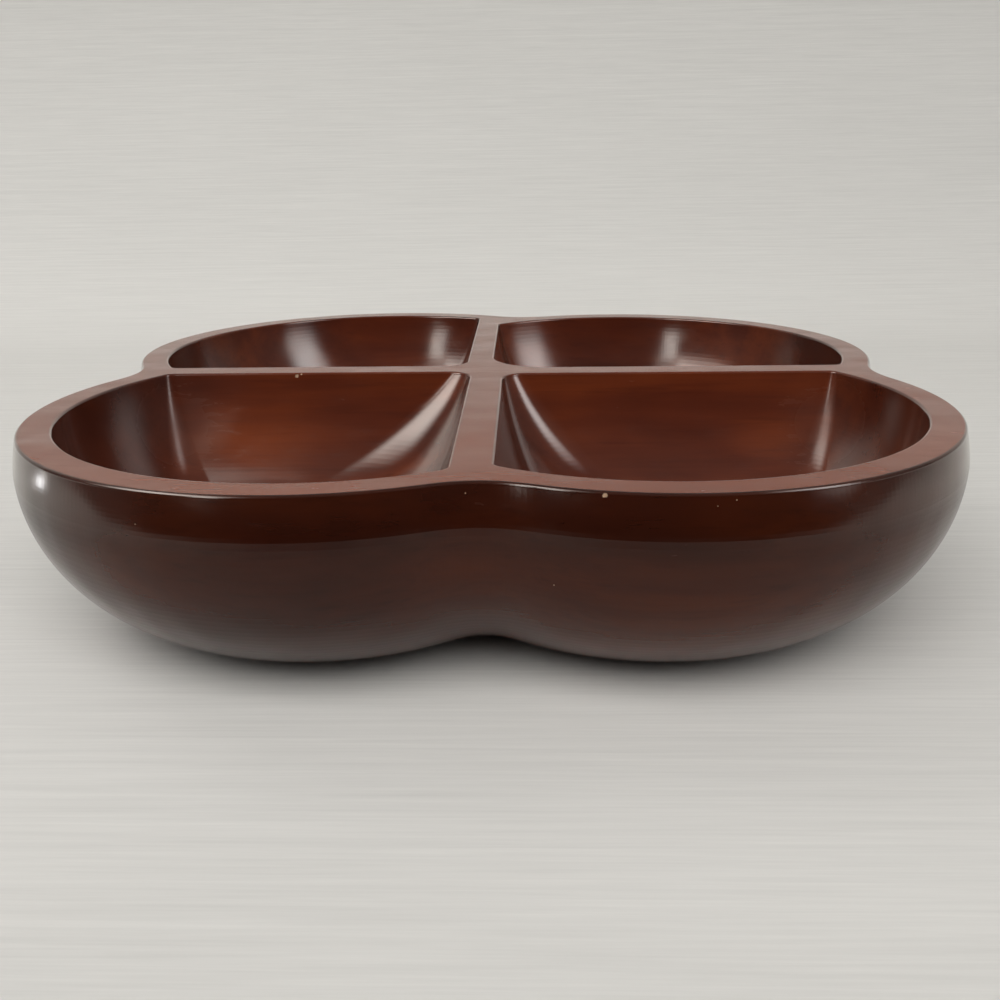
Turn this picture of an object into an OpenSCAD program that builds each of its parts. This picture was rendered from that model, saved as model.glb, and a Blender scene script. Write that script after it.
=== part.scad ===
/* [Bowl] */
// Overall width of the bowl, left to right, where its sides bulge most
bowl_w = 305; // [285:1:360]
// Height from the table to the flat rim
bowl_h = 67.5; // [50:0.5:95]
// Distance between the centres of neighbouring lobes
lobe_spacing = 105.6; // [94:0.2:120]
// How far the sides bulge past the rim
bulge = 1.8; // [0:0.1:4]
// How far the bulge lies below the rim
bulge_drop = 11.7; // [6:0.1:20]
// Radius of the flat spot under each lobe, which the bowl rests on
foot_r = 40; // [24:0.5:46]
// Width over which the groove between two lobes is rounded
groove_soften = 14; // [8:0.5:30]
// Radius of the rounded outer edge of the rim
rim_edge_r = 1; // [0.5:0.1:3]

/* [Hand carving] */
// How far the front right lobe is drawn in towards the middle line
front_right_tuck = 2; // [0:0.5:6]
// How far the rear right lobe is drawn in towards the cross divider
rear_right_tuck = 11; // [0:0.5:14]

/* [Dividers and rim] */
// Width of the rim between a compartment and the outside
rim_w = 10.6; // [8:0.1:16]
// Thickness of the divider between the two front compartments
front_divider_w = 12.4; // [8:0.1:20]
// How far left of the middle line the front divider stands
front_divider_shift = 3.5; // [0:0.1:8]
// Thickness of the divider between the two rear compartments
rear_divider_w = 10.5; // [8:0.1:20]
// How far left of the middle line the rear divider stands
rear_divider_shift = 6.9; // [0:0.1:8]
// Thickness of the cross divider between front and rear compartments
cross_divider_w = 12.1; // [8:0.1:20]
// How far the cross divider's left half stands behind the middle line, and its right half before it
cross_divider_skew = 1.9; // [0:0.1:5]

/* [Compartments] */
// Thickness of the floor under each compartment
floor_t = 13.5; // [8:0.5:24]
// How far the walls lean in between the rim and the floor
wall_lean = 38; // [24:0.5:42]
// Share of the lean that the walls take up evenly from the mouth down; the rest is rounded
mouth_slope = 0.15; // [0:0.01:0.4]
// Corner radius at the rim, where a divider meets the outer wall
outer_corner_r = 4; // [4:0.5:22]
// How much that radius grows on the way down to the floor
outer_growth = 12; // [0:0.5:16]
// Corner radius at the rim, where the two dividers meet
inner_corner_r = 9; // [4:0.5:14]
// Inner corner radius of the rear right compartment, which is carved rounder
rear_right_corner_r = 22; // [4:0.5:26]
// How much the inner corner radius grows on the way down to the floor
corner_growth = 28; // [6:0.5:30]
// The same for the front left compartment, whose inner corner is scooped out wider
front_left_growth = 46; // [6:0.5:48]
// Size of the eased edge round the mouth of each compartment
mouth_edge = 0.9; // [0.3:0.1:2]

/* [Smoothness] */
// Number of sides round the bowl
sides = 112; // [96:4:160]
// Number of layers that each compartment is carved in
well_layers = 8; // [7:1:12]

/* [Hidden] */
NODES = ["front_edge_stave", "front_stave", "middle_stave", "rear_stave", "rear_edge_stave"];
WOOD = [0.29, 0.11, 0.07];
WOOD_LIGHT = [0.33, 0.13, 0.08];

// The blank is glued up from equal staves, front to back
stave_w = bowl_w / len(NODES);
// Length that a cut runs past what it cuts
overrun = 5;

// Distance of a lobe's centre from both middle lines
lobe_at = lobe_spacing / 2;
belly_r = bowl_w / 2 - lobe_at;
belly_z = bowl_h - bulge_drop;
lobe_r = belly_r - bulge;
well_r = lobe_r - rim_w;
well_depth = bowl_h - floor_t;

// The four lobes: front left, front right, rear left, rear right
lobes = [
    [-lobe_at, -lobe_at],
    [lobe_at - front_right_tuck, -lobe_at],
    [-lobe_at, lobe_at],
    [lobe_at, lobe_at - rear_right_tuck]
];

// How far each compartment's walls stand from the middle lines, in the order of the lobes
side_walls = [
    front_divider_w / 2 + front_divider_shift,
    front_divider_w / 2 - front_divider_shift,
    rear_divider_w / 2 + rear_divider_shift,
    rear_divider_w / 2 - rear_divider_shift
];
cross_walls = [
    cross_divider_w / 2 - cross_divider_skew,
    cross_divider_w / 2 + cross_divider_skew,
    cross_divider_w / 2 + cross_divider_skew,
    cross_divider_w / 2 - cross_divider_skew
];
inner_corners = [inner_corner_r, inner_corner_r, inner_corner_r, rear_right_corner_r];
corner_growths = [front_left_growth, corner_growth, corner_growth, corner_growth];

// A minimum of two distances that turns smoothly from one to the other over a width
function soft_min(a, b, width) =
    let (overlap = max(width - abs(a - b), 0) / width)
    min(a, b) - overlap * overlap * width / 4;

// Distance of a point in plan from the nearest lobe centre, softened in the grooves
function reach(p) =
    soft_min(
        soft_min(norm(p - lobes[0]), norm(p - lobes[1]), groove_soften),
        soft_min(norm(p - lobes[2]), norm(p - lobes[3]), groove_soften),
        groove_soften
    );

// Height of the underside at a given reach: flat under the foot, then a quarter of an ellipse
function underside(d) =
    d <= foot_r ? 0 : belly_z * (1 - cos(asin(min((d - foot_r) / (belly_r - foot_r), 1))));

// Points [reach, height] down the outside, from the rim's rounded edge to well under the belly
edge_steps = 3;
upper_steps = 3;
lower_steps = 8;
lower_end_angle = 33;
// How soon the bulge swells out below the rim: 1 for a straight slope, more for a rounder shoulder
shoulder_power = 1.35;
outside = concat(
    [for (i = [0 : edge_steps])
        let (a = 90 - 90 * i / edge_steps)
        [lobe_r - rim_edge_r + rim_edge_r * cos(a), bowl_h - rim_edge_r + rim_edge_r * sin(a)]],
    [for (i = [1 : upper_steps])
        let (t = i / upper_steps)
        [lobe_r + bulge * (1 - pow(1 - t, shoulder_power)), bowl_h - rim_edge_r - t * (bulge_drop - rim_edge_r)]],
    [for (i = [1 : lower_steps])
        let (a = 90 - (90 - lower_end_angle) * i / lower_steps)
        [foot_r + (belly_r - foot_r) * sin(a), belly_z * (1 - cos(a))]]
);

// How far out along a heading the bowl's outline at a given reach lies, by halving an interval
halvings = 18;
function outline_at(heading, d, low, high, steps = halvings) =
    steps == 0 ? (low + high) / 2 :
    let (middle = (low + high) / 2)
    reach(middle * heading) < d
        ? outline_at(heading, d, middle, high, steps - 1)
        : outline_at(heading, d, low, middle, steps - 1);

headings = [for (i = [0 : sides - 1]) [cos(360 * i / sides), sin(360 * i / sides)]];

outside_rings = [
    for (step = outside)
        [for (h = headings)
            let (p = outline_at(h, step[0], lobe_at, bowl_w) * h)
            [p[0], p[1], step[1]]]
];

// The last ring's plan is shrunk towards the middle to cover the underside
underside_shares = [0.91, 0.82, 0.72, 0.6, 0.47, 0.33, 0.18];
last_ring = outside_rings[len(outside_rings) - 1];
underside_rings = [
    for (share = underside_shares)
        [for (q = last_ring)
            let (p = share * [q[0], q[1]])
            [p[0], p[1], underside(reach(p))]]
];
blank_rings = concat(outside_rings, underside_rings);
blank_top = [0, 0, bowl_h];
blank_bottom = [0, 0, underside(reach([0, 0]))];

// Points along an arc of some steps from one angle to another, with or without the last point
function arc(centre, r, from, to, steps, with_last = true) =
    [for (i = [0 : steps - (with_last ? 0 : 1)])
        let (a = from + (to - from) * i / steps)
        centre + r * [cos(a), sin(a)]];

// Outline of a compartment in its own quarter, walls to the left and below, as a loop of points:
// lobe centre c, outer radius r, walls at w, and its corner radii where the walls leave room for them
arc_steps = 16;
corner_steps = 5;
fillet_share = 0.95;
function well_outline(c, r, w, outer_corner, inner_corner) =
    let (
        rc = min(outer_corner, fillet_share * (r + min(c[0] - w[0], c[1] - w[1])) / 2),
        side_corner = [w[0] + rc, c[1] + sqrt(pow(r - rc, 2) - pow(c[0] - w[0] - rc, 2))],
        cross_corner = [c[0] + sqrt(pow(r - rc, 2) - pow(c[1] - w[1] - rc, 2)), w[1] + rc],
        side_angle = atan2(side_corner[1] - c[1], side_corner[0] - c[0]),
        cross_angle = atan2(cross_corner[1] - c[1], cross_corner[0] - c[0]),
        ri = min(inner_corner, fillet_share * min(side_corner[1] - w[1], cross_corner[0] - w[0]))
    )
    concat(
        arc(c, r, cross_angle, side_angle, arc_steps, false),
        arc(side_corner, rc, side_angle, 180, corner_steps),
        arc(w + [ri, ri], ri, 180, 270, corner_steps),
        arc(cross_corner, rc, -90, cross_angle, corner_steps, false)
    );

function reversed(list) = [for (i = [len(list) - 1 : -1 : 0]) list[i]];

// Outline of compartment k at a given share of its depth, anticlockwise from above
function well_ring(k, depth_share, z, ease = 0) =
    let (
        side = [sign(lobes[k][0]), sign(lobes[k][1])],
        centre = [abs(lobes[k][0]), abs(lobes[k][1])],
        bowed = 1 - sqrt(1 - pow(depth_share, 2)),
        lean = wall_lean * (bowed + mouth_slope * (depth_share - bowed)) - ease,
        outline = well_outline(
            centre,
            well_r - lean,
            [side_walls[k] + lean, cross_walls[k] + lean],
            outer_corner_r + outer_growth * depth_share + ease,
            inner_corners[k] + corner_growths[k] * depth_share + ease
        ),
        points = [for (p = outline) [side[0] * p[0], side[1] * p[1], z]]
    )
    side[0] * side[1] > 0 ? points : reversed(points);

function well_rings(k) = concat(
    [well_ring(k, 0, bowl_h + overrun, mouth_edge), well_ring(k, 0, bowl_h, mouth_edge)],
    [for (i = [0 : well_layers])
        let (down = sin(90 * i / well_layers))
        well_ring(k, down, bowl_h - mouth_edge - (well_depth - mouth_edge) * down)]
);

function sum(list, i = 0) = i == len(list) - 1 ? list[i] : list[i] + sum(list, i + 1);
function middle_of(ring) = sum(ring) / len(ring);

// The solid through a stack of rings, from the top one down, closed by a point at either end
module ring_solid(rings, top, bottom) {
    count = len(rings[0]);
    last = (len(rings) - 1) * count;
    peak = len(rings) * count;
    polyhedron(
        points = concat([for (ring = rings) each ring], [top, bottom]),
        faces = [
            for (i = [0 : count - 1])
                let (j = (i + 1) % count)
                each concat(
                    [[peak, j, i], [peak + 1, last + i, last + j]],
                    [for (a = [0 : count : last - 1])
                        let (b = a + count)
                        each [[a + i, a + j, b + j], [a + i, b + j, b + i]]]
                )
        ]
    );
}

// The outer shape of the bowl, as one solid with a flat top
module carved_blank() {
    ring_solid(blank_rings, blank_top, blank_bottom);
}

// The hollow of compartment k, with a part above the rim that opens it
module well(k) {
    rings = well_rings(k);
    ring_solid(rings, middle_of(rings[0]), middle_of(rings[len(rings) - 1]));
}

// One stave of the carved bowl, counted from the front, with the wells that reach into it
module stave(index, wells) {
    from = -bowl_w / 2 + index * stave_w;
    difference() {
        intersection() {
            carved_blank();
            translate([-bowl_w, from, -overrun]) cube([2 * bowl_w, stave_w, bowl_h + 2 * overrun]);
        }
        for (k = wells) well(k);
    }
}

module front_edge_stave() { color(WOOD) stave(0, [0, 1]); }
module front_stave() { color(WOOD_LIGHT) stave(1, [0, 1]); }
module middle_stave() { color(WOOD) stave(2, [0, 1, 2, 3]); }
module rear_stave() { color(WOOD_LIGHT) stave(3, [2, 3]); }
module rear_edge_stave() { color(WOOD) stave(4, [2, 3]); }

front_edge_stave();
front_stave();
middle_stave();
rear_stave();
rear_edge_stave();
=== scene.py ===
"""Carves and lacquers a four-lobed divided serving bowl, and lights it on a pale table."""

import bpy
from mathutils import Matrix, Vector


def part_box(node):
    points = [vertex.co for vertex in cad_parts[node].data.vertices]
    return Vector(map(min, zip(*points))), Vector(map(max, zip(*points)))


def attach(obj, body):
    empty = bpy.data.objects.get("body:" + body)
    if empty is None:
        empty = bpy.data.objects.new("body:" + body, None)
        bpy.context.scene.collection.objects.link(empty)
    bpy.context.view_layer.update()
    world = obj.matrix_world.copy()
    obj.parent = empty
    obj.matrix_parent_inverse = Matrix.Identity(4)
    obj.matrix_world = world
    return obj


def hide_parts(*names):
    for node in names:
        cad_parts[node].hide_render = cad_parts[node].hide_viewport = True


bl_info = {
    "name": "Divided Serving Bowl",
    "version": (1, 0, 0),
    "blender": (4, 5, 0),
    "location": "View3D > Sidebar > Bowl",
    "description": "Carves a four-lobed divided bowl from glued staves, lacquers it and lights it",
    "category": "Add Mesh",
}

import math

import bmesh
import bpy
import numpy as np
from bpy.props import FloatProperty, FloatVectorProperty, IntProperty, PointerProperty
from mathutils import Matrix, Vector

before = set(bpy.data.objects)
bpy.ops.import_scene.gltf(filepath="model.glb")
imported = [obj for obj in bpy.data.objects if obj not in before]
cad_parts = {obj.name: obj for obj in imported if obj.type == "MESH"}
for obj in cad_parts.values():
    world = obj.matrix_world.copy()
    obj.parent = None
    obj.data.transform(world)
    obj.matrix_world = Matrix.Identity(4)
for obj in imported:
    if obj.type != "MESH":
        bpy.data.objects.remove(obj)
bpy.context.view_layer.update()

MM = 0.001
NODES = ("front_edge_stave", "front_stave", "middle_stave", "rear_stave", "rear_edge_stave")
BODY = "root"
FRONT_BOX, REAR_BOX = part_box(NODES[0]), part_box(NODES[-1])
BOWL_WIDTH = REAR_BOX[1][1] - FRONT_BOX[0][1]
BOWL_HEIGHT = REAR_BOX[1][2]

# Tolerances in m: points of the carved shell that are one, edges too short to keep, the rim's triangles
# joined to the shell, and how near to a seam plane or to the rim's height a point counts as on it
WELD = 0.000004
SHORT_EDGE = 0.000002
RIM_WELD = 0.00001
ON_SEAM = 0.0000005
ON_RIM = 0.000002


# Nodes written as arithmetic


class Wire:
    """A node socket that sums can be written with. Without a socket it is the pen that starts a tree."""

    def __init__(self, tree, socket=None):
        self.tree = tree
        self.socket = socket

    def make(self, kind, values=None, output=0, stops=None, **settings):
        """Adds a node: its settings first, then the values or links of its sockets, by name or number."""
        node = self.tree.nodes.new(kind)
        for name, value in settings.items():
            setattr(node, name, value)
        if stops is not None:
            ramp = node.color_ramp
            while len(ramp.elements) < len(stops):
                ramp.elements.new(1)
            for element, (position, colour) in zip(ramp.elements, stops):
                element.position = position
                element.color = (*colour, 1)
        for key, value in (values or {}).items():
            socket = node.inputs[key]
            if isinstance(value, Wire):
                self.tree.links.new(value.socket, socket)
            else:
                socket.default_value = value
        return Wire(self.tree, node.outputs[output] if node.outputs else None)

    def __getitem__(self, output):
        """Another output of the same node."""
        return Wire(self.tree, self.socket.node.outputs[output])

    def maths(self, operation, *others):
        return self.make("ShaderNodeMath", dict(enumerate((self, *others))), operation=operation)

    def __add__(self, other):
        return self.maths("ADD", other)

    def __radd__(self, other):
        return self.maths("ADD", other)

    def __sub__(self, other):
        return self.maths("SUBTRACT", other)

    def __rsub__(self, other):
        return self.make("ShaderNodeMath", {0: other, 1: self}, operation="SUBTRACT")

    def __mul__(self, other):
        return self.maths("MULTIPLY", other)

    def __rmul__(self, other):
        return self.maths("MULTIPLY", other)

    def __truediv__(self, other):
        return self.maths("DIVIDE", other)

    def __rtruediv__(self, other):
        return self.make("ShaderNodeMath", {0: other, 1: self}, operation="DIVIDE")

    def __pow__(self, other):
        return self.maths("POWER", other)

    def __lt__(self, other):
        return self.maths("LESS_THAN", other)


def larger(a, b):
    return a.maths("MAXIMUM", b)


def smaller(a, b):
    return a.maths("MINIMUM", b)


def root(a):
    return larger(a, 0).maths("SQRT")


def length_of(x, y):
    return (x * x + y * y).maths("SQRT")


def sine(a):
    return a.maths("SINE")


def cosine(a):
    return a.maths("COSINE")


def clamped(a):
    return smaller(larger(a, 0), 1)


def smooth_step(a, low, high):
    """0 below low, 1 above high, eased in between."""
    values = {"Value": a, "From Min": low, "From Max": high}
    return a.make("ShaderNodeMapRange", values, interpolation_type="SMOOTHSTEP")


# Sizes and finishes


class BOWL_PG_sizes(bpy.types.PropertyGroup):
    """Sizes of the bowl, the same as the solids have."""

    height: FloatProperty(
        name="Height", description="Height of the flat rim above the table",
        default=BOWL_HEIGHT, min=0.05, max=0.095, unit="LENGTH")
    width: FloatProperty(
        name="Width", description="Overall width where the sides bulge most",
        default=BOWL_WIDTH, min=0.25, max=0.36, unit="LENGTH")
    lobe_at: FloatProperty(
        name="Lobe Offset", description="Distance of a lobe's centre from both middle lines",
        default=52.8 * MM, min=0.04, max=0.06, unit="LENGTH")
    front_right_tuck: FloatProperty(
        name="Front Right Tuck", description="How far the front right lobe is drawn in to the middle line",
        default=2 * MM, min=0, max=0.006, unit="LENGTH")
    rear_right_tuck: FloatProperty(
        name="Rear Right Tuck", description="How far the rear right lobe is drawn in to the cross divider",
        default=11 * MM, min=0, max=0.014, unit="LENGTH")
    bulge: FloatProperty(
        name="Bulge", description="How far the sides bulge past the rim",
        default=1.8 * MM, min=0, max=0.004, unit="LENGTH")
    bulge_drop: FloatProperty(
        name="Bulge Drop", description="How far the bulge lies below the rim",
        default=11.7 * MM, min=0.006, max=0.02, unit="LENGTH")
    foot_radius: FloatProperty(
        name="Foot Radius", description="Radius of the flat spot under each lobe",
        default=40 * MM, min=0.024, max=0.046, unit="LENGTH")
    groove_soften: FloatProperty(
        name="Groove Softening", description="Width over which the groove between two lobes is rounded",
        default=14 * MM, min=0.008, max=0.03, unit="LENGTH")
    rim_edge: FloatProperty(
        name="Rim Edge", description="Radius of the rounded outer edge of the rim",
        default=1.0 * MM, min=0.0005, max=0.003, unit="LENGTH")
    rim_width: FloatProperty(
        name="Rim Width", description="Width of the rim between a compartment and the outside",
        default=10.6 * MM, min=0.008, max=0.016, unit="LENGTH")
    floor_thickness: FloatProperty(
        name="Floor Thickness", description="Thickness of the floor under each compartment",
        default=13.5 * MM, min=0.008, max=0.024, unit="LENGTH")
    wall_lean: FloatProperty(
        name="Wall Lean", description="How far the walls lean in between the rim and the floor",
        default=38 * MM, min=0.024, max=0.042, unit="LENGTH")
    outer_corner: FloatProperty(
        name="Outer Corner", description="Corner radius where a divider meets the outer wall",
        default=4 * MM, min=0.004, max=0.012, unit="LENGTH")
    mouth_slope: FloatProperty(
        name="Mouth Slope", description="Share of the lean that the walls take up evenly from the mouth down",
        default=0.15, min=0, max=0.5, subtype="FACTOR")
    outer_growth: FloatProperty(
        name="Outer Corner Growth", description="How much the outer corner radius grows on the way down",
        default=12 * MM, min=0, max=0.016, unit="LENGTH")
    mouth_edge: FloatProperty(
        name="Mouth Edge", description="Size of the eased edge round each compartment's mouth",
        default=0.9 * MM, min=0.0003, max=0.002, unit="LENGTH")
    headings: IntProperty(
        name="Headings", description="Number of points round the outside", default=640, min=96, max=960)


class BOWL_PG_finish(bpy.types.PropertyGroup):
    """Colours and gloss of the stained and lacquered wood."""

    deep: FloatVectorProperty(
        name="Deep Stain", description="Colour of the darkest streaks of the stained wood",
        subtype="COLOR", size=3, min=0, max=1, default=(0.042, 0.0095, 0.0055))
    body: FloatVectorProperty(
        name="Stain", description="Main colour of the stained wood",
        subtype="COLOR", size=3, min=0, max=1, default=(0.092, 0.0185, 0.0075))
    warm: FloatVectorProperty(
        name="Warm Stain", description="Colour of the lighter, more orange streaks",
        subtype="COLOR", size=3, min=0, max=1, default=(0.17, 0.035, 0.0095))
    # Painted shade: the outside of the bowl is painted darker than the compartments by this share
    outside_painted_shade: FloatProperty(
        name="Outside Depth", description="How much deeper the stain is outside than in the compartments",
        default=0.62, min=0, max=1, subtype="FACTOR")
    gloss: FloatProperty(
        name="Lacquer Roughness", description="Roughness of the lacquer's surface",
        default=0.16, min=0.02, max=0.6, subtype="FACTOR")
    worn: FloatVectorProperty(
        name="Bare Wood", description="Colour of the wood in small chips of the lacquer",
        subtype="COLOR", size=3, min=0, max=1, default=(0.42, 0.27, 0.17))
    hand_waver: FloatProperty(
        name="Hand Waver", description="Height of the faint ripples that scraping by hand leaves",
        default=0.9 * MM, min=0, max=0.004, unit="LENGTH")


class BOWL_PG_stage(bpy.types.PropertyGroup):
    """The table, the light and the camera."""

    cloth: FloatVectorProperty(
        name="Table", description="Colour of the pale table and backdrop",
        subtype="COLOR", size=3, min=0, max=1, default=(0.69, 0.68, 0.655))
    table_front: FloatProperty(
        name="Table Front", description="Front line of the table that the lacquer mirrors, dark beyond it",
        default=-0.225, min=-2, max=-0.16, unit="LENGTH")
    table_fade: FloatProperty(
        name="Table Fade", description="Width over which the mirrored table fades out in front of that line",
        default=0.12, min=0.005, max=0.5, unit="LENGTH")
    sweep_start: FloatProperty(
        name="Sweep Start", description="Distance behind the bowl's middle where the backdrop starts to rise",
        default=0.42, min=0.2, max=3, unit="LENGTH")
    sweep_radius: FloatProperty(
        name="Sweep Radius", description="Radius in which the table rises into the backdrop",
        default=0.35, min=0.05, max=3, unit="LENGTH")
    camera_place: FloatVectorProperty(
        name="Camera", description="Place of the camera",
        subtype="TRANSLATION", size=3, unit="LENGTH", default=(0.0108, -0.376, 0.1437))
    camera_pitch: FloatProperty(
        name="Camera Pitch", description="How far the camera looks down",
        default=math.radians(18.97), unit="ROTATION")
    camera_roll: FloatProperty(
        name="Camera Roll", description="How far the camera is rolled to the right",
        default=math.radians(0.77), unit="ROTATION")
    camera_yaw: FloatProperty(
        name="Camera Yaw", description="How far the camera is turned to the left",
        default=math.radians(1.54), unit="ROTATION")
    camera_lens: FloatProperty(
        name="Lens", description="Focal length in mm on a 36 mm sensor", default=35.68, min=10, max=200)


# Where the four compartments differ, in mm: signs of the quarter, distances of the two divider walls from the
# middle lines, radius of the corner between them at the mouth, and how much it grows down to the floor
COMPARTMENTS = (
    {"name": "front left", "side": (-1, -1), "walls": (9.7, 4.15), "inner": 9, "growth": 46},
    {"name": "front right", "side": (1, -1), "walls": (2.7, 7.95), "inner": 9, "growth": 28},
    {"name": "rear left", "side": (-1, 1), "walls": (12.15, 7.95), "inner": 9, "growth": 28},
    {"name": "rear right", "side": (1, 1), "walls": (-1.65, 4.15), "inner": 22, "growth": 28},
)


def lobe_centres(sizes):
    at = sizes.lobe_at
    return {
        "front left": (-at, -at),
        "front right": (at - sizes.front_right_tuck, -at),
        "rear left": (-at, at),
        "rear right": (at, at - sizes.rear_right_tuck),
    }


def belly_radius(sizes):
    return sizes.width / 2 - sizes.lobe_at


def compartment_values(room, sizes):
    """The inputs in which one compartment differs from the others."""
    x, y = lobe_centres(sizes)[room["name"]]
    return {
        "Lobe X": abs(x), "Lobe Y": abs(y),
        "Side Wall": room["walls"][0] * MM, "Cross Wall": room["walls"][1] * MM,
        "Inner Corner": room["inner"] * MM, "Corner Growth": room["growth"] * MM,
        "Side X": room["side"][0], "Side Y": room["side"][1],
    }


# The carved shape, as Geometry Nodes


def new_tree(name, floats, whole=()):
    """A Geometry Nodes tree with named inputs. Returns the tree, its pen and its inputs as wires."""
    tree = bpy.data.node_groups.new(name, "GeometryNodeTree")
    for label, value in floats.items():
        socket = tree.interface.new_socket(label, in_out="INPUT", socket_type="NodeSocketFloat")
        socket.default_value = value
    for label, value in dict(whole).items():
        socket = tree.interface.new_socket(label, in_out="INPUT", socket_type="NodeSocketInt")
        socket.default_value = value
    tree.interface.new_socket("Geometry", in_out="OUTPUT", socket_type="NodeSocketGeometry")
    pen = Wire(tree)
    start = pen.make("NodeGroupInput")
    inputs = {label: start[label] for label in [*floats, *dict(whole)]}
    return tree, pen, inputs


def end_tree(pen, geometry):
    end = pen.tree.nodes.new("NodeGroupOutput")
    pen.tree.links.new(geometry.socket, end.inputs["Geometry"])


# Added before a column number is rounded down, so that an exact one stays as it is
ROUNDING_ROOM = 0.0001


def grid_rows(pen, columns, rows):
    """A grid of points, with each one's column and row number."""
    grid = pen.make("GeometryNodeMeshGrid", {"Vertices X": columns, "Vertices Y": rows}, output="Mesh")
    index = pen.make("GeometryNodeInputIndex")
    column = (index / rows + ROUNDING_ROOM).maths("FLOOR")
    return grid, column, index - column * rows


def stored(pen, geometry, name, value):
    values = {"Geometry": geometry, "Name": name, "Value": value}
    return pen.make("GeometryNodeStoreNamedAttribute", values, data_type="FLOAT", domain="POINT")


def named(pen, name):
    return pen.make("GeometryNodeInputNamedAttribute", {"Name": name}, data_type="FLOAT")


def pushed_out(pen, geometry, times, gap):
    """Moves each point along its heading until the gap that a function measures there is closed."""
    first = pen.tree.nodes.new("GeometryNodeRepeatInput")
    last = pen.tree.nodes.new("GeometryNodeRepeatOutput")
    first.pair_with_output(last)
    first.inputs["Iterations"].default_value = times
    pen.tree.links.new(geometry.socket, first.inputs["Geometry"])
    inside = Wire(pen.tree, first.outputs["Geometry"])
    out = named(pen, "out")
    moved = stored(pen, inside, "out", out + gap(out))
    pen.tree.links.new(moved.socket, last.inputs["Geometry"])
    return Wire(pen.tree, last.outputs["Geometry"])


def placed(pen, geometry, x, y, z):
    point = pen.make("ShaderNodeCombineXYZ", {"X": x, "Y": y, "Z": z})
    return pen.make("GeometryNodeSetPosition", {"Geometry": geometry, "Position": point})


def soft_smaller(a, b, width):
    """A minimum of two distances that turns smoothly from one to the other over a width."""
    overlap = larger(width - (a - b).maths("ABSOLUTE"), 0)
    return smaller(a, b) - overlap * overlap / (4 * width)


def shares(step, counts):
    """How much of each part, 0 to 1, is done at a step that is counted through all the parts in turn."""
    done, start = {}, 0
    for part, count in counts.items():
        done[part] = clamped((step - start) / count)
        start += count
    return done


OUTSIDE_ROWS = {"edge": 7, "upper": 9, "lower": 26, "under": 22}
# How far the belly's rows turn in before the underside's take over
LOWER_END = math.radians(57)
# Roundness of the shoulder between the rim's edge and the widest line
BULGE_POWER = 1.45
# Rounds of moving each point out until its gap is closed
CLOSING_ROUNDS = 22
# Rows of the underside are those with a shrink below this
NEARLY_WHOLE = 0.9999


def outside_tree(sizes):
    """The outside of the bowl below its rim: rounded edge, bulge, belly and underside."""
    shared = {
        "Height": sizes.height, "Belly Radius": belly_radius(sizes), "Bulge": sizes.bulge,
        "Bulge Drop": sizes.bulge_drop, "Foot Radius": sizes.foot_radius,
        "Groove Softening": sizes.groove_soften, "Rim Edge": sizes.rim_edge,
    }
    centres = lobe_centres(sizes)
    for name, (x, y) in centres.items():
        shared[name.title() + " X"] = x
        shared[name.title() + " Y"] = y
    tree, pen, size = new_tree("Bowl Outside", shared, {"Headings": sizes.headings})
    height, belly, edge = size["Height"], size["Belly Radius"], size["Rim Edge"]
    foot, drop, bulge = size["Foot Radius"], size["Bulge Drop"], size["Bulge"]

    def reach(x, y):
        away = [
            length_of(x - size[name.title() + " X"], y - size[name.title() + " Y"]) for name in centres
        ]
        soft = size["Groove Softening"]
        front, rear = soft_smaller(away[0], away[1], soft), soft_smaller(away[2], away[3], soft)
        return soft_smaller(front, rear, soft)

    rows = sum(OUTSIDE_ROWS.values()) + 1
    grid, column, row = grid_rows(pen, size["Headings"] + 1, rows)
    angle = column / size["Headings"] * math.tau
    grid = stored(pen, grid, "heading x", cosine(angle))
    grid = stored(pen, grid, "heading y", sine(angle))
    share = shares(row, OUTSIDE_ROWS)
    edge_turn = share["edge"] * (math.pi / 2)
    lower_turn = math.pi / 2 - share["lower"] * LOWER_END
    upper = share["upper"]
    target = belly - bulge - edge + edge * sine(edge_turn)
    target = target + bulge * (1 - (1 - upper) ** BULGE_POWER) + (belly - foot) * (sine(lower_turn) - 1)
    level = height - edge + edge * cosine(edge_turn) - upper * (drop - edge)
    level = level - (height - drop) * cosine(lower_turn)
    grid = stored(pen, grid, "target", target)
    grid = stored(pen, grid, "level", level)
    grid = stored(pen, grid, "shrink", 1 - share["under"])
    grid = stored(pen, grid, "out", belly)
    across, along = named(pen, "heading x"), named(pen, "heading y")
    goal = named(pen, "target")
    grid = pushed_out(pen, grid, CLOSING_ROUNDS, lambda out: goal - reach(out * across, out * along))
    out = named(pen, "out") * named(pen, "shrink")
    x, y = out * across, out * along
    climb = larger(smaller((reach(x, y) - foot) / (belly - foot), 1), 0)
    underside = (height - drop) * (1 - root(1 - climb * climb))
    is_under = named(pen, "shrink") < NEARLY_WHOLE
    z = named(pen, "level")
    grid = stored(pen, grid, "outside", 1.0)
    end_tree(pen, placed(pen, grid, x, y, z + is_under * (underside - z)))
    return tree


COMPARTMENT_ROWS = {"mouth": 5, "wall": 44, "floor": 10}
# Points along the outline: the round, its two fillets, the two walls and the corner between them
OUTLINE_STEPS = {
    "round": 150, "side fillet": 26, "side wall": 34, "corner": 48, "cross wall": 34, "cross fillet": 26,
}
# The largest share of the room between its neighbours that a fillet takes
FILLET_SHARE = 0.95


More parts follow.
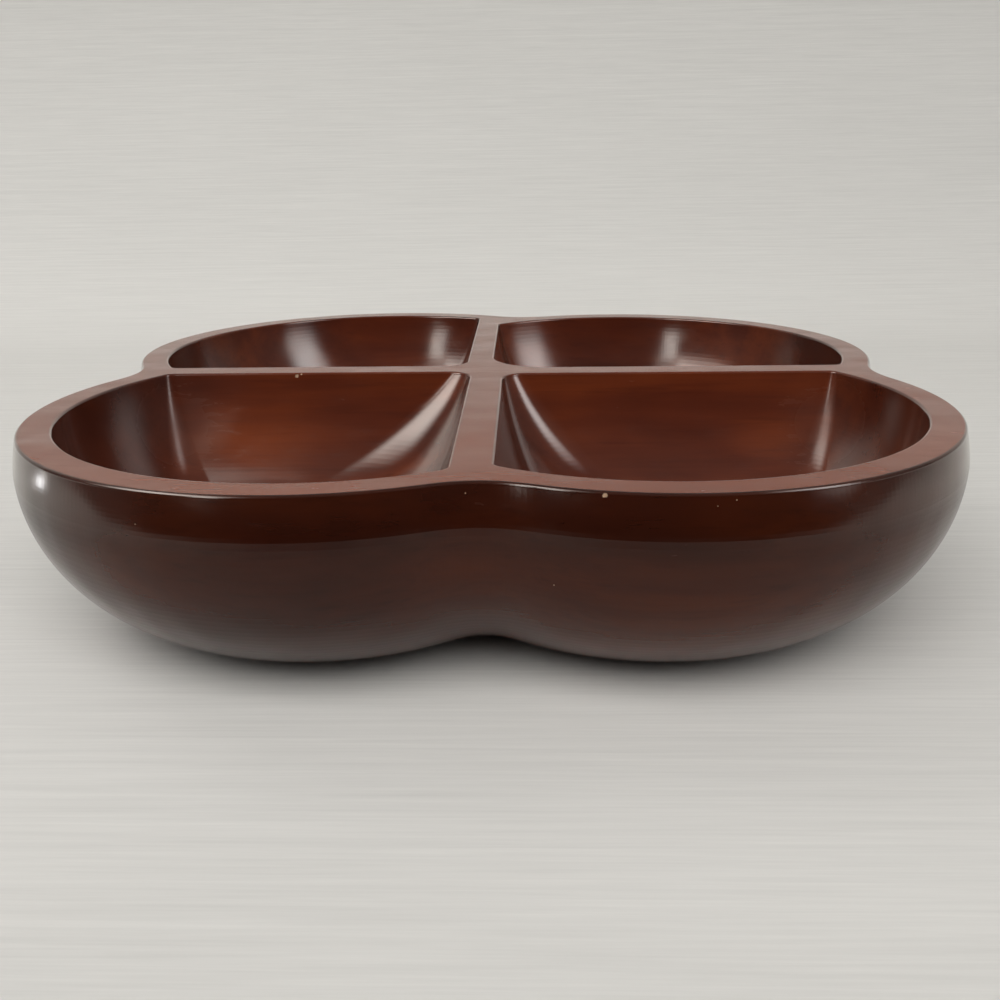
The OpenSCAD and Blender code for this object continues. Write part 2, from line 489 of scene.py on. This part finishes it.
def compartment_tree(sizes):
    """One compartment in its own quarter: eased mouth, leaning walls and flat floor."""
    shared = {
        "Height": sizes.height, **compartment_values(COMPARTMENTS[0], sizes),
        "Mouth Radius": belly_radius(sizes) - sizes.bulge - sizes.rim_width,
        "Outer Corner": sizes.outer_corner, "Outer Growth": sizes.outer_growth,
        "Floor Thickness": sizes.floor_thickness, "Mouth Edge": sizes.mouth_edge,
        "Wall Lean": sizes.wall_lean, "Mouth Slope": sizes.mouth_slope,
    }
    tree, pen, size = new_tree("Bowl Compartment", shared)
    edge, lobe = size["Mouth Edge"], (size["Lobe X"], size["Lobe Y"])
    columns, rows = sum(OUTLINE_STEPS.values()) + 1, sum(COMPARTMENT_ROWS.values()) + 1
    grid, column, row = grid_rows(pen, columns, rows)
    done = shares(row, COMPARTMENT_ROWS)
    mouth_turn, wall_turn = done["mouth"] * (math.pi / 2), done["wall"] * (math.pi / 2)
    down, ease = sine(wall_turn), edge * (1 - sine(mouth_turn))
    bowed = 1 - cosine(wall_turn)
    lean = size["Wall Lean"] * (bowed + size["Mouth Slope"] * (down - bowed)) - ease
    depth = size["Height"] - size["Floor Thickness"] - edge
    level = size["Height"] - edge + edge * cosine(mouth_turn) - depth * down
    radius = size["Mouth Radius"] - lean
    walls = (size["Side Wall"] + lean, size["Cross Wall"] + lean)
    room = smaller(lobe[0] - walls[0], lobe[1] - walls[1])
    outer = size["Outer Corner"] + size["Outer Growth"] * down + ease
    outer = smaller(outer, FILLET_SHARE / 2 * (radius + room))

    def fillet_centre(k):
        """Centre of the fillet between a wall and the round: across from the wall, then along it."""
        across = lobe[k] - walls[k] - outer
        return walls[k] + outer, lobe[1 - k] + root((radius - outer) * (radius - outer) - across * across)

    side_x, side_y = fillet_centre(0)
    cross_y, cross_x = fillet_centre(1)
    inner = size["Inner Corner"] + size["Corner Growth"] * down + ease
    inner = smaller(inner, FILLET_SHARE * smaller(side_y - walls[1], cross_x - walls[0]))
    side_angle = (side_y - lobe[1]).maths("ARCTAN2", side_x - lobe[0])
    cross_angle = (cross_y - lobe[1]).maths("ARCTAN2", cross_x - lobe[0])
    along = shares(column, OUTLINE_STEPS)
    x = lobe[0] + radius * cosine(cross_angle)
    y = lobe[1] + radius * sine(cross_angle)
    arcs = (
        ("round", radius, cross_angle, side_angle), ("side fillet", outer, side_angle, math.pi),
        ("corner", inner, math.pi, 3 * math.pi / 2), ("cross fillet", outer, -math.pi / 2, cross_angle),
    )
    for part, bend, start, end in arcs:
        turn = along[part] * (end - start) + start
        x = x + bend * (cosine(turn) - (cosine(start) if isinstance(start, Wire) else math.cos(start)))
        y = y + bend * (sine(turn) - (sine(start) if isinstance(start, Wire) else math.sin(start)))
    y = y + along["side wall"] * (walls[1] + inner - side_y)
    x = x + along["cross wall"] * (cross_x - walls[0] - inner)
    mouth_walls = (size["Side Wall"], size["Cross Wall"])
    middle = [(wall + at + size["Mouth Radius"]) / 2 for wall, at in zip(mouth_walls, lobe)]
    shrink = 1 - done["floor"]
    x = size["Side X"] * (middle[0] + shrink * (x - middle[0]))
    y = size["Side Y"] * (middle[1] + shrink * (y - middle[1]))
    end_tree(pen, placed(pen, grid, x, y, level))
    return tree


def bowl_tree(sizes, wood):
    """The whole carved bowl as one closed shell."""
    tree, pen, size = new_tree("Carved Bowl", {"Height": sizes.height})
    parts = [pen.make("GeometryNodeGroup", {"Height": size["Height"]}, node_tree=outside_tree(sizes))]
    hollow = compartment_tree(sizes)
    for room in COMPARTMENTS:
        values = {"Height": size["Height"], **compartment_values(room, sizes)}
        parts.append(pen.make("GeometryNodeGroup", values, node_tree=hollow))
    skin = pen.make("GeometryNodeJoinGeometry")
    for part in reversed(parts):
        tree.links.new(part.socket, skin.socket.node.inputs["Geometry"])
    skin = pen.make("GeometryNodeMergeByDistance", {"Geometry": skin, "Distance": WELD})
    faces = pen.make("GeometryNodeInputMeshEdgeNeighbors")
    # Sockets 2 and 3 are the compared whole numbers
    borders = pen.make("FunctionNodeCompare", {2: faces, 3: 1}, data_type="INT", operation="EQUAL")
    loops = pen.make("GeometryNodeMeshToCurve", {"Mesh": skin, "Selection": borders})
    rim = pen.make("GeometryNodeFillCurve", {"Curve": loops}, mode="TRIANGLES")
    raised = pen.make("ShaderNodeCombineXYZ", {"Z": size["Height"]})
    rim = pen.make("GeometryNodeSetPosition", {"Geometry": rim, "Offset": raised})
    bowl = pen.make("GeometryNodeJoinGeometry")
    for part in (rim, skin):
        tree.links.new(part.socket, bowl.socket.node.inputs["Geometry"])
    bowl = pen.make("GeometryNodeMergeByDistance", {"Geometry": bowl, "Distance": RIM_WELD})
    bowl = pen.make("GeometryNodeSetShadeSmooth", {"Geometry": bowl})
    bowl = pen.make("GeometryNodeRealizeInstances", {"Geometry": bowl})
    end_tree(pen, pen.make("GeometryNodeSetMaterial", {"Geometry": bowl, "Material": wood}))
    return tree


def evaluated_mesh(tree, values, name):
    """The mesh that a tree makes with these inputs."""
    holder = bpy.data.objects.new(name, bpy.data.meshes.new(name))
    bpy.context.scene.collection.objects.link(holder)
    modifier = holder.modifiers.new(tree.name, "NODES")
    modifier.node_group = tree
    for socket in tree.interface.items_tree:
        if socket.in_out == "INPUT" and socket.name in values:
            modifier[socket.identifier] = values[socket.name]
    depsgraph = bpy.context.evaluated_depsgraph_get()
    mesh = bpy.data.meshes.new_from_object(holder.evaluated_get(depsgraph), depsgraph=depsgraph)
    holder.modifiers.remove(modifier)
    bpy.data.objects.remove(holder)
    return mesh


# Staves cut from the shell


def closed_shell(mesh, sizes):
    """The shell as a bmesh with its normals outwards, and each point's smooth normal kept in a layer."""
    shell = bmesh.new()
    shell.from_mesh(mesh)
    bmesh.ops.remove_doubles(shell, verts=shell.verts, dist=WELD)
    bmesh.ops.dissolve_degenerate(shell, edges=shell.edges, dist=SHORT_EDGE)
    open_edges = [edge for edge in shell.edges if len(edge.link_faces) != 2]
    if open_edges:
        raise RuntimeError(f"the bowl's shell has {len(open_edges)} open edges")
    bmesh.ops.recalc_face_normals(shell, faces=shell.faces)
    if shell.calc_volume(signed=True) < 0:
        bmesh.ops.reverse_faces(shell, faces=shell.faces)
    shell.normal_update()
    kept = shell.verts.layers.float_vector.new("kept_normal")
    rim = shell.verts.layers.float.new("rim")
    for vert in shell.verts:
        flat = vert.co.z > sizes.height - ON_RIM
        vert[kept] = Vector((0, 0, 1)) if flat else vert.normal
        vert[rim] = 1.0 if flat else 0.0
    return shell


# Material number that marks the glued faces until their normals are set
GLUED = 1


def stave_mesh(shell, name, low, high, wood):
    """The part of the shell between two seam planes, closed flat at each, with the shell's normals."""
    part = shell.copy()
    for at, way in ((low, -1), (high, 1)):
        if at is None:
            continue
        geometry = part.verts[:] + part.edges[:] + part.faces[:]
        cut = bmesh.ops.bisect_plane(
            part, geom=geometry, dist=ON_SEAM, plane_co=(0, at, 0), plane_no=(0, way, 0), clear_outer=True)
        rim = [e for e in cut["geom_cut"] if isinstance(e, bmesh.types.BMEdge) and len(e.link_faces) == 1]
        filled = bmesh.ops.triangle_fill(part, use_beauty=True, edges=rim, normal=(0, way, 0))
        seam = [face for face in filled["geom"] if isinstance(face, bmesh.types.BMFace)]
        for face in seam:
            face.material_index = GLUED
    if any(len(edge.link_faces) != 2 for edge in part.edges):
        raise RuntimeError(f"{name} isn't closed")
    bmesh.ops.recalc_face_normals(part, faces=part.faces)
    for face in part.faces:
        face.smooth = True
    mesh = bpy.data.meshes.new(name)
    part.to_mesh(mesh)
    part.free()
    mesh.materials.append(wood)
    keep_normals(mesh)
    return mesh


def keep_normals(mesh):
    """Gives the carved faces the shell's smooth normals, and the glued faces flat ones."""
    kept = np.zeros(len(mesh.vertices) * 3, np.float32)
    mesh.attributes["kept_normal"].data.foreach_get("vector", kept)
    kept = kept.reshape(-1, 3)
    kept /= np.maximum(np.linalg.norm(kept, axis=1, keepdims=True), 1e-9)
    corners = np.zeros(len(mesh.loops), np.int32)
    mesh.loops.foreach_get("vertex_index", corners)
    normals = kept[corners]
    marks = np.zeros(len(mesh.polygons), np.int32)
    mesh.polygons.foreach_get("material_index", marks)
    counts = np.zeros(len(mesh.polygons), np.int32)
    mesh.polygons.foreach_get("loop_total", counts)
    face_normals = np.zeros(len(mesh.polygons) * 3, np.float32)
    mesh.polygons.foreach_get("normal", face_normals)
    is_glued = np.repeat(marks == GLUED, counts)
    normals[is_glued] = np.repeat(face_normals.reshape(-1, 3), counts, axis=0)[is_glued]
    mesh.polygons.foreach_set("material_index", np.zeros(len(mesh.polygons), np.int32))
    grain = mesh.attributes.new("end_grain", "FLOAT", "POINT")
    grain.data.foreach_set("value", np.ascontiguousarray(np.abs(kept[:, 0])))
    spare = ("kept_normal", "heading x", "heading y", "target", "level", "shrink", "out")
    for name in spare:
        if name in mesh.attributes:
            mesh.attributes.remove(mesh.attributes[name])
    mesh.normals_split_custom_set([tuple(normal) for normal in normals.tolist()])
    mesh.update()


# Wood and cloth


def noise(pen, point, scale, detail=2.0, roughness=0.5, distortion=0.0):
    values = {
        "Vector": point, "Scale": scale, "Detail": detail, "Roughness": roughness, "Distortion": distortion,
    }
    return pen.make("ShaderNodeTexNoise", values, output="Fac")


def stretched(pen, point, scale, turn=(0, 0, 0), shift=(0, 0, 0)):
    values = {"Vector": point, "Location": shift, "Rotation": turn, "Scale": scale}
    return pen.make("ShaderNodeMapping", values, output="Vector")


# Sockets of the Mix node when it mixes colours: its factor, its two colours and its result
MIX_FACTOR, MIX_LOW, MIX_HIGH, MIX_RESULT = 0, 6, 7, 2


def blend(pen, share, low, high):
    """A colour between two, which are colours or wires."""
    low, high = (value if isinstance(value, Wire) else (*value, 1) for value in (low, high))
    values = {MIX_FACTOR: share, MIX_LOW: low, MIX_HIGH: high}
    return pen.make(
        "ShaderNodeMix", values, output=MIX_RESULT, data_type="RGBA", blend_type="MIX", clamp_factor=True)


def near(pen, place, point, radius, soft=1.0):
    """1 at a point, 0 past a radius from it, and in between over the soft share of the radius."""
    point = tuple(MM * part for part in point)
    away = pen.make("ShaderNodeVectorMath", {0: place, 1: point}, output="Value", operation="DISTANCE")
    return 1 - smooth_step(away / radius, 1 - soft, 1)


# Places in mm. Patches of warmer wood, or deeper for a negative strength: middle, with x halved, as they
# are twice as long as wide; radius in m; strength
WARM_PATCHES = (
    ((-49, -9, 39), 0.022, 0.4),
    ((50, -12, 43), 0.012, 0.3),
    ((37, -14, 43), 0.028, -0.25),
    ((34, 122, 52), 0.036, -0.25),
)
# Where the lacquer is duller: middle and radius in m
DULL_CORNERS = (((-123, -10, 47), 0.027), ((124, -14, 48), 0.027))
# The stretch of the rim that is duller and has less painted light than the rest
DULLER_RIM_STRETCH = ((62, -140, 67.5), 0.075)
# Small chips and pits in the lacquer: middle, radius in m
CHIPS = (
    ((-76.2, -4.2, 66.4), 0.0008), ((-74.4, -4.1, 67.0), 0.0004), ((30.1, -148.7, 66.6), 0.0008),
    ((-86.5, -146.3, 58.8), 0.0002), ((-8.2, -141.6, 61.6), 0.00025), ((-4.2, -140.6, 64.6), 0.0002),
    ((18.0, -144.7, 41.3), 0.00025), ((56.9, -150.9, 64.5), 0.0002), ((61.5, -150.3, 65.8), 0.0002),
)


# Heights in m between which the outside's painted shade deepens, and its polish comes in, towards the rim
PAINTED_SHADE_BAND = (0.042, 0.056)
POLISHED_BAND = (0.050, 0.062)
# The wood under the lacquer, and the clear coat over it
WOOD_GLOSS = {"IOR": 1.5, "Specular IOR Level": 0.25, "Specular Tint": (1.0, 0.93, 0.86, 1)}
COAT = {"Coat Roughness": 0.13, "Coat IOR": 1.34, "Coat Tint": (1.0, 0.96, 0.92, 1)}
# Noise scale of the ragged edges of the chips
CHIP_RAGGEDNESS = 1400


def blank(owner):
    """An empty node tree in a material or world, as a pen."""
    owner.use_nodes = True
    owner.node_tree.nodes.clear()
    return Wire(owner.node_tree)


def lacquered_wood(finish):
    material = bpy.data.materials.new("Lacquered Wood")
    pen = blank(material)
    place = pen.make("ShaderNodeTexCoord", output="Object")
    end_grain = pen.make("ShaderNodeAttribute", output="Fac", attribute_name="end_grain")

    sway = noise(pen, stretched(pen, place, (5, 9, 9)), 1.0, detail=2)
    lengthwise = stretched(pen, place, (3.2, 34, 34))
    streaks = noise(pen, lengthwise, 1.6, detail=5, roughness=0.6, distortion=0.25)
    fine = noise(pen, stretched(pen, place, (14, 260, 260)), 1.5, detail=4, roughness=0.62)
    blotched = stretched(pen, place, (9, 17, 17), shift=(3, 1, 2))
    blotches = noise(pen, blotched, 1.0, detail=3, roughness=0.55, distortion=0.6)
    tone = 0.46 + (blotches - 0.5) * 1.1 + (streaks - 0.5) * 0.9 + (sway - 0.5) * 0.5
    for point, radius, strength in WARM_PATCHES:
        tone = tone + near(pen, stretched(pen, place, (0.5, 1, 1)), point, radius) * strength
    colour = pen.make("ShaderNodeValToRGB", {"Fac": clamped(tone)}, output="Color", stops=(
        (0.12, tuple(finish.deep)), (0.48, tuple(finish.body)), (0.86, tuple(finish.warm))))
    colour = blend(pen, smooth_step(fine, 0.52, 0.72) * 0.3, colour, tuple(finish.deep))
    colour = blend(pen, smooth_step(end_grain, 0.35, 0.95) * 0.2, colour, tuple(0.8 * c for c in finish.deep))
    outside = pen.make("ShaderNodeAttribute", output="Fac", attribute_name="outside")
    rim = pen.make("ShaderNodeAttribute", output="Fac", attribute_name="rim")
    up = pen.make("ShaderNodeSeparateXYZ", {"Vector": place})["Z"]
    # Painted shade: the outside below the rim is blended towards black, most of all on the shoulder just
    # under the rim
    shoulder = smooth_step(up, *PAINTED_SHADE_BAND)
    deeper = outside * (1 - rim) * (0.7 + 0.3 * shoulder) * finish.outside_painted_shade
    colour = blend(pen, deeper, colour, (0, 0, 0))
    # Painted light: the flat rim, which faces up, is painted paler than the rest of the wood, less so on that
    # duller stretch
    dull = near(pen, place, *DULLER_RIM_STRETCH)
    colour = blend(pen, rim * (0.7 - 0.2 * dull), colour, tuple(1.5 * c for c in finish.warm))
    chips = 0
    for point, radius in CHIPS:
        ragged = radius * (0.3 + 1.4 * noise(pen, place, CHIP_RAGGEDNESS))
        chips = larger(near(pen, place, point, ragged, soft=0.4), chips)
    colour = blend(pen, chips, colour, tuple(finish.worn))

    scratched = stretched(pen, place, (90, 420, 420), turn=(0, 0.3, 0.2))
    scuffs = noise(pen, scratched, 1.0, detail=3, roughness=0.65)
    rough = finish.gloss + (noise(pen, place, 34, detail=3) - 0.5) * 0.06
    rough = rough + smooth_step(scuffs, 0.5, 0.75) * (1 - end_grain) * 0.12
    rough = rough + smooth_step(end_grain, 0.5, 1.0) * 0.06 + chips * 0.4
    ripples = noise(pen, place, 42, detail=1) + fine * 0.02 - chips * 0.3
    bump = pen.make("ShaderNodeBump", {"Strength": 1.0, "Distance": finish.hand_waver, "Height": ripples})
    belly = outside * (1 - smooth_step(up, *POLISHED_BAND))
    matt = larger(larger(belly * 0.9, rim * (0.66 + 0.34 * dull)), chips)
    for point, radius in DULL_CORNERS:
        corner = near(pen, place, point, radius) * (1 - outside)
        matt = larger(corner * 0.85, matt)
        rough = rough + corner * 0.2
    gloss = 1 - matt
    values = {
        "Base Color": colour, "Roughness": rough, "Normal": bump, "Coat Weight": gloss, **WOOD_GLOSS, **COAT,
    }
    shader = pen.make("ShaderNodeBsdfPrincipled", values)
    pen.make("ShaderNodeOutputMaterial", {"Surface": shader})
    return material


# Distances along the cloth in m, 0 under the bowl's middle, between which its painted light rises behind the
# bowl, falls again up the backdrop, and its painted shade nearest to the viewer clears
PAINTED_LIGHT_RISE, PAINTED_LIGHT_FALL = (0.0, 0.5), (0.45, 0.76)
PAINTED_SHADE_CLEARING = (-0.26, -0.17)
# Darkest and lightest tones of the weave and of its painted light and shade, as parts of the cloth's colour
WEAVE_DARK, WEAVE_LIGHT = 0.88, 1.1


def pale_linen(stage, fading=False):
    """The table's cloth. The fading one turns dark towards the viewer."""
    material = bpy.data.materials.new("Fading Linen" if fading else "Pale Linen Table")
    pen = blank(material)
    place = pen.make("ShaderNodeUVMap", uv_map="Cloth")
    threads = noise(pen, stretched(pen, place, (26, 900, 1)), 1.0, detail=3, roughness=0.6)
    slubs = noise(pen, stretched(pen, place, (7, 330, 1), shift=(2, 5, 0)), 1.0, detail=4, roughness=0.65)
    clouds = noise(pen, stretched(pen, place, (2, 5, 1)), 1.0, detail=2)
    along = pen.make("ShaderNodeSeparateXYZ", {"Vector": place})["Y"]
    # Painted light and shade on the cloth: lighter behind the bowl up to where the table turns into the
    # backdrop, fading again up the backdrop, and darker nearest to the viewer
    far = smooth_step(along, *PAINTED_LIGHT_RISE) * (1 - smooth_step(along, *PAINTED_LIGHT_FALL) * 1.2)
    close = 1 - smooth_step(along, *PAINTED_SHADE_CLEARING)
    weave = (threads - 0.5) * 0.7 + (slubs - 0.5) + (clouds - 0.5) * 0.25
    tone = clamped(0.45 + weave + far * 0.5 - close * 0.3)
    darker, lighter = (tuple(min(1, part * c) for c in stage.cloth) for part in (WEAVE_DARK, WEAVE_LIGHT))
    colour = blend(pen, tone, darker, lighter)
    if fading:
        lit = smooth_step(along, stage.table_front - stage.table_fade, stage.table_front)
        colour = blend(pen, lit, (0, 0, 0), colour)
    values = {"Base Color": colour, "Roughness": 0.85, "Specular IOR Level": 0.25}
    shader = pen.make("ShaderNodeBsdfPrincipled", values)
    pen.make("ShaderNodeOutputMaterial", {"Surface": shader})
    return material


# Operators


class BOWL_OT_staves(bpy.types.Operator):
    """Carve the bowl and cut it into the five staves that its blank is glued up from."""

    bl_idname = "bowl.staves"
    bl_label = "Carve Staves"

    def execute(self, context):
        sizes, finish = context.scene.bowl_sizes, context.scene.bowl_finish
        wood = lacquered_wood(finish)
        tree = bowl_tree(sizes, wood)
        mesh = evaluated_mesh(tree, {"Height": sizes.height}, "carved_bowl")
        shell = closed_shell(mesh, sizes)
        bpy.data.meshes.remove(mesh)
        stave = sizes.width / len(NODES)
        for k, name in enumerate(NODES):
            low = None if k == 0 else -sizes.width / 2 + k * stave
            high = None if k == len(NODES) - 1 else -sizes.width / 2 + (k + 1) * stave
            piece = bpy.data.objects.new("bowl_" + name, stave_mesh(shell, name, low, high, wood))
            context.scene.collection.objects.link(piece)
            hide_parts(name)
            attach(piece, BODY)
        shell.free()
        return {"FINISHED"}


# The cloth's strips, in m: half their width, their height, the backdrop's rise above its curve, the reach of
# the front sheet, and then the steps of a long strip and of the backdrop
CLOTH_HALF_WIDTH = 3.0
CLOTH_HEIGHT = -0.0003
BACKDROP_RISE = 3.0
FRONT_REACH = 2.5
CLOTH_STEPS = 24
BACKDROP_STEPS = 6


def swept_sheet(stage):
    """The table top behind its front line and the backdrop as one sheet."""
    radius, rise, front = stage.sweep_radius, stage.sweep_start, stage.table_front
    line = [(front + (rise - front) * k / CLOTH_STEPS, 0.0) for k in range(CLOTH_STEPS + 1)]
    for k in range(1, CLOTH_STEPS + 1):
        turn = math.pi / 2 * k / CLOTH_STEPS
        line.append((rise + radius * math.sin(turn), radius * (1 - math.cos(turn))))
    for k in range(1, BACKDROP_STEPS + 1):
        line.append((rise + radius, radius + BACKDROP_RISE * k / BACKDROP_STEPS))
    return cloth_strip("table_and_backdrop", line)


def front_sheet(stage):
    """The rest of the table top, in front of that line."""
    start = stage.table_front - FRONT_REACH
    line = [(start + FRONT_REACH * k / CLOTH_STEPS, 0.0) for k in range(CLOTH_STEPS + 1)]
    return cloth_strip("table_front", line)


def fading_sheet(stage):
    """The strip in front of that line that only the lacquer mirrors, where the table fades into the dark."""
    front = stage.table_front
    return cloth_strip("table_fading", [(front - stage.table_fade, 0.0), (front, 0.0)])


def cloth_strip(name, line):
    """A strip of cloth along a line of points (y, z), whose coordinates in m follow the cloth."""
    travelled, along = line[0][0], []
    for k, (y, z) in enumerate(line):
        if k:
            travelled += math.dist(line[k - 1], (y, z))
        along.append(travelled)
    verts = [(side * CLOTH_HALF_WIDTH, y, z + CLOTH_HEIGHT) for y, z in line for side in (-1, 1)]
    faces = [(2 * k, 2 * k + 1, 2 * k + 3, 2 * k + 2) for k in range(len(line) - 1)]
    mesh = bpy.data.meshes.new(name)
    mesh.from_pydata(verts, [], faces)
    layer = mesh.uv_layers.new(name="Cloth")
    for loop in mesh.loops:
        k, side = divmod(loop.vertex_index, 2)
        layer.data[loop.index].uv = (CLOTH_HALF_WIDTH * (2 * side - 1), along[k])
    for face in mesh.polygons:
        face.use_smooth = True
    return mesh


def card(name, width, height, place, towards):
    """A flat rectangle that faces a point."""
    mesh = bpy.data.meshes.new(name)
    x, y = width / 2, height / 2
    mesh.from_pydata([(-x, -y, 0), (x, -y, 0), (x, y, 0), (-x, y, 0)], [], [(0, 1, 2, 3)])
    layer = mesh.uv_layers.new(name="Pane")
    for loop, corner in zip(layer.data, ((0, 0), (1, 0), (1, 1), (0, 1))):
        loop.uv = corner
    turn = (Vector(towards) - Vector(place)).to_track_quat("Z", "Y").to_matrix().to_4x4()
    mesh.transform(Matrix.Translation(place) @ turn)
    return mesh


def direction(azimuth, elevation):
    """A unit vector from the bowl. The azimuth is clockwise from behind, seen from above, in degrees."""
    a, e = math.radians(azimuth), math.radians(elevation)
    return Vector((math.sin(a) * math.cos(e), math.cos(a) * math.cos(e), math.sin(e)))


# Soft windows, seen only by the gloss, and soft fill lights, which only light: azimuth and elevation of the
# middle, width and height as angles, radiance, share of each side that fades out, colour
WINDOWS = (
    ("low left window", -145, 20, 12, 25, 9.5, 0.3, (1.0, 0.97, 0.93)),
    ("high left window", -121, 39, 54, 38, 10.5, 0.35, (1.0, 0.97, 0.93)),
    ("right window", 121, 30, 28, 60, 9.0, 0.4, (0.97, 0.98, 1.0)),
)
FILLS = (
    ("ceiling fill", -172, 48, 104, 50, 4.18, 0.3, (1.0, 0.99, 0.97)),
    ("backdrop fill", -60, 48, 40, 30, 2.6, 0.3, (1.0, 0.99, 0.97)),
)
WINDOW_DISTANCE = 2.0
# The place that all of them face
BOWL_MIDDLE = Vector((0, 0, 0.05))
# A small bright card low on the left, seen only by the gloss, and the place on the shoulder that mirrors it
LOW_REFLECTOR = (-0.4025, -0.033, 0.0265)
LOW_REFLECTOR_SIZE = (0.034, 0.02)
LOW_REFLECTOR_GLOW = (9.0, 0.3, (0.97, 0.98, 1.0))
LEFT_SHOULDER = (-0.1195, -0.1255, 0.0635)


def soft_pane(name, radiance, fade, tint):
    """A glowing pane that is brightest in its middle and fades out at its sides."""
    material = bpy.data.materials.new(name)
    pen = blank(material)
    place = pen.make("ShaderNodeUVMap", uv_map="Pane")
    across = pen.make("ShaderNodeSeparateXYZ", {"Vector": place})
    glow = 1
    for side in (across["X"], across["Y"]):
        glow = smooth_step(smaller(side, 1 - side), 0, fade) * glow
    values = {
        "Base Color": (0, 0, 0, 1), "Specular IOR Level": 0, "Emission Strength": radiance,
        "Emission Color": blend(pen, glow, (0, 0, 0), tint),
    }
    pen.make("ShaderNodeOutputMaterial", {"Surface": pen.make("ShaderNodeBsdfPrincipled", values)})
    return material


ROOM_DARK, ROOM_GREY = (0.02, 0.019, 0.018), (0.22, 0.215, 0.21)


def dim_room():
    """The rest of the room: grey overhead and at the sides, nearly black in front and behind at eye level."""
    world = bpy.data.worlds.new("Dim Room")
    pen = blank(world)
    way = pen.make("ShaderNodeTexCoord", output="Generated")
    parts = pen.make("ShaderNodeSeparateXYZ", {"Vector": way})
    sideways = smooth_step(parts["X"].maths("ABSOLUTE"), 0.75, 1) * 0.7
    in_front = smooth_step(-1 * parts["Y"], 0.3, 0.9)
    lightness = clamped(smooth_step(parts["Z"], 0.0, 0.6) * (1 - 0.75 * in_front) + sideways)
    colour = blend(pen, lightness, ROOM_DARK, ROOM_GREY)
    glow = pen.make("ShaderNodeBackground", {"Color": colour, "Strength": 1.0})
    pen.make("ShaderNodeOutputWorld", {"Surface": glow})
    return world


def set_on_stage(name, mesh, material, hidden_from):
    """Adds a piece of the stage that some kinds of ray don't see."""
    mesh.materials.append(material)
    piece = bpy.data.objects.new(name, mesh)
    for use in hidden_from:
        setattr(piece, "visible_" + use, False)
    bpy.context.scene.collection.objects.link(piece)


def add_camera(stage):
    data = bpy.data.cameras.new("camera")
    data.sensor_width = 36
    data.lens = stage.camera_lens
    data.clip_start = 0.01
    camera = bpy.data.objects.new("camera", data)
    turn = (
        Matrix.Rotation(stage.camera_yaw, 4, "Z")
        @ Matrix.Rotation(math.pi / 2 - stage.camera_pitch, 4, "X")
        @ Matrix.Rotation(-stage.camera_roll, 4, "Z")
    )
    camera.matrix_world = Matrix.Translation(Vector(stage.camera_place)) @ turn
    bpy.context.scene.collection.objects.link(camera)
    bpy.context.scene.camera = camera


class BOWL_OT_stage(bpy.types.Operator):
    """Set the table, the backdrop, the window light and the camera."""

    bl_idname = "bowl.stage"
    bl_label = "Set Stage"

    def execute(self, context):
        scene, stage = context.scene, context.scene.bowl_stage
        linen = pale_linen(stage)
        sheets = (
            (swept_sheet(stage), linen, ()),
            (front_sheet(stage), linen, ("glossy", "diffuse", "shadow")),
            (fading_sheet(stage), pale_linen(stage, fading=True), ("camera", "diffuse", "shadow")),
        )
        for mesh, cloth, hidden_from in sheets:
            set_on_stage(mesh.name, mesh, cloth, hidden_from)
        for name, azimuth, elevation, wide, high, *glow in (*WINDOWS, *FILLS):
            place = BOWL_MIDDLE + WINDOW_DISTANCE * direction(azimuth, elevation)
            spans = [2 * WINDOW_DISTANCE * math.tan(math.radians(angle) / 2) for angle in (wide, high)]
            mesh = card(name, *spans, place, BOWL_MIDDLE)
            unlit = "glossy" if name.endswith("fill") else "diffuse"
            set_on_stage(name.replace(" ", "_"), mesh, soft_pane(name, *glow), ("camera", unlit))
        mesh = card("low_reflector", *LOW_REFLECTOR_SIZE, LOW_REFLECTOR, LEFT_SHOULDER)
        glowing = soft_pane("low_reflector", *LOW_REFLECTOR_GLOW)
        set_on_stage("low_reflector", mesh, glowing, ("camera", "diffuse", "shadow"))
        scene.world = dim_room()
        scene.view_settings.view_transform = "Standard"
        add_camera(stage)
        return {"FINISHED"}


class BOWL_PT_sidebar(bpy.types.Panel):
    """Sizes, finish and steps of the divided bowl."""

    bl_idname = "BOWL_PT_sidebar"
    bl_label = "Divided Bowl"
    bl_space_type = "VIEW_3D"
    bl_region_type = "UI"
    bl_category = "Bowl"

    def draw(self, context):
        for group in (context.scene.bowl_sizes, context.scene.bowl_finish, context.scene.bowl_stage):
            box = self.layout.box()
            for name in group.__annotations__:
                box.prop(group, name)
        for step in STEPS:
            self.layout.operator(step.bl_idname)


STEPS = (BOWL_OT_staves, BOWL_OT_stage)
CLASSES = (BOWL_PG_sizes, BOWL_PG_finish, BOWL_PG_stage, *STEPS, BOWL_PT_sidebar)
GROUPS = {"bowl_sizes": BOWL_PG_sizes, "bowl_finish": BOWL_PG_finish, "bowl_stage": BOWL_PG_stage}


def register():
    for made in CLASSES:
        bpy.utils.register_class(made)
    for name, group in GROUPS.items():
        setattr(bpy.types.Scene, name, PointerProperty(type=group))


def unregister():
    for name in GROUPS:
        delattr(bpy.types.Scene, name)
    for made in reversed(CLASSES):
        bpy.utils.unregister_class(made)


def main():
    register()
    bpy.ops.bowl.staves()
    bpy.ops.bowl.stage()


if __name__ == "__main__":
    main()
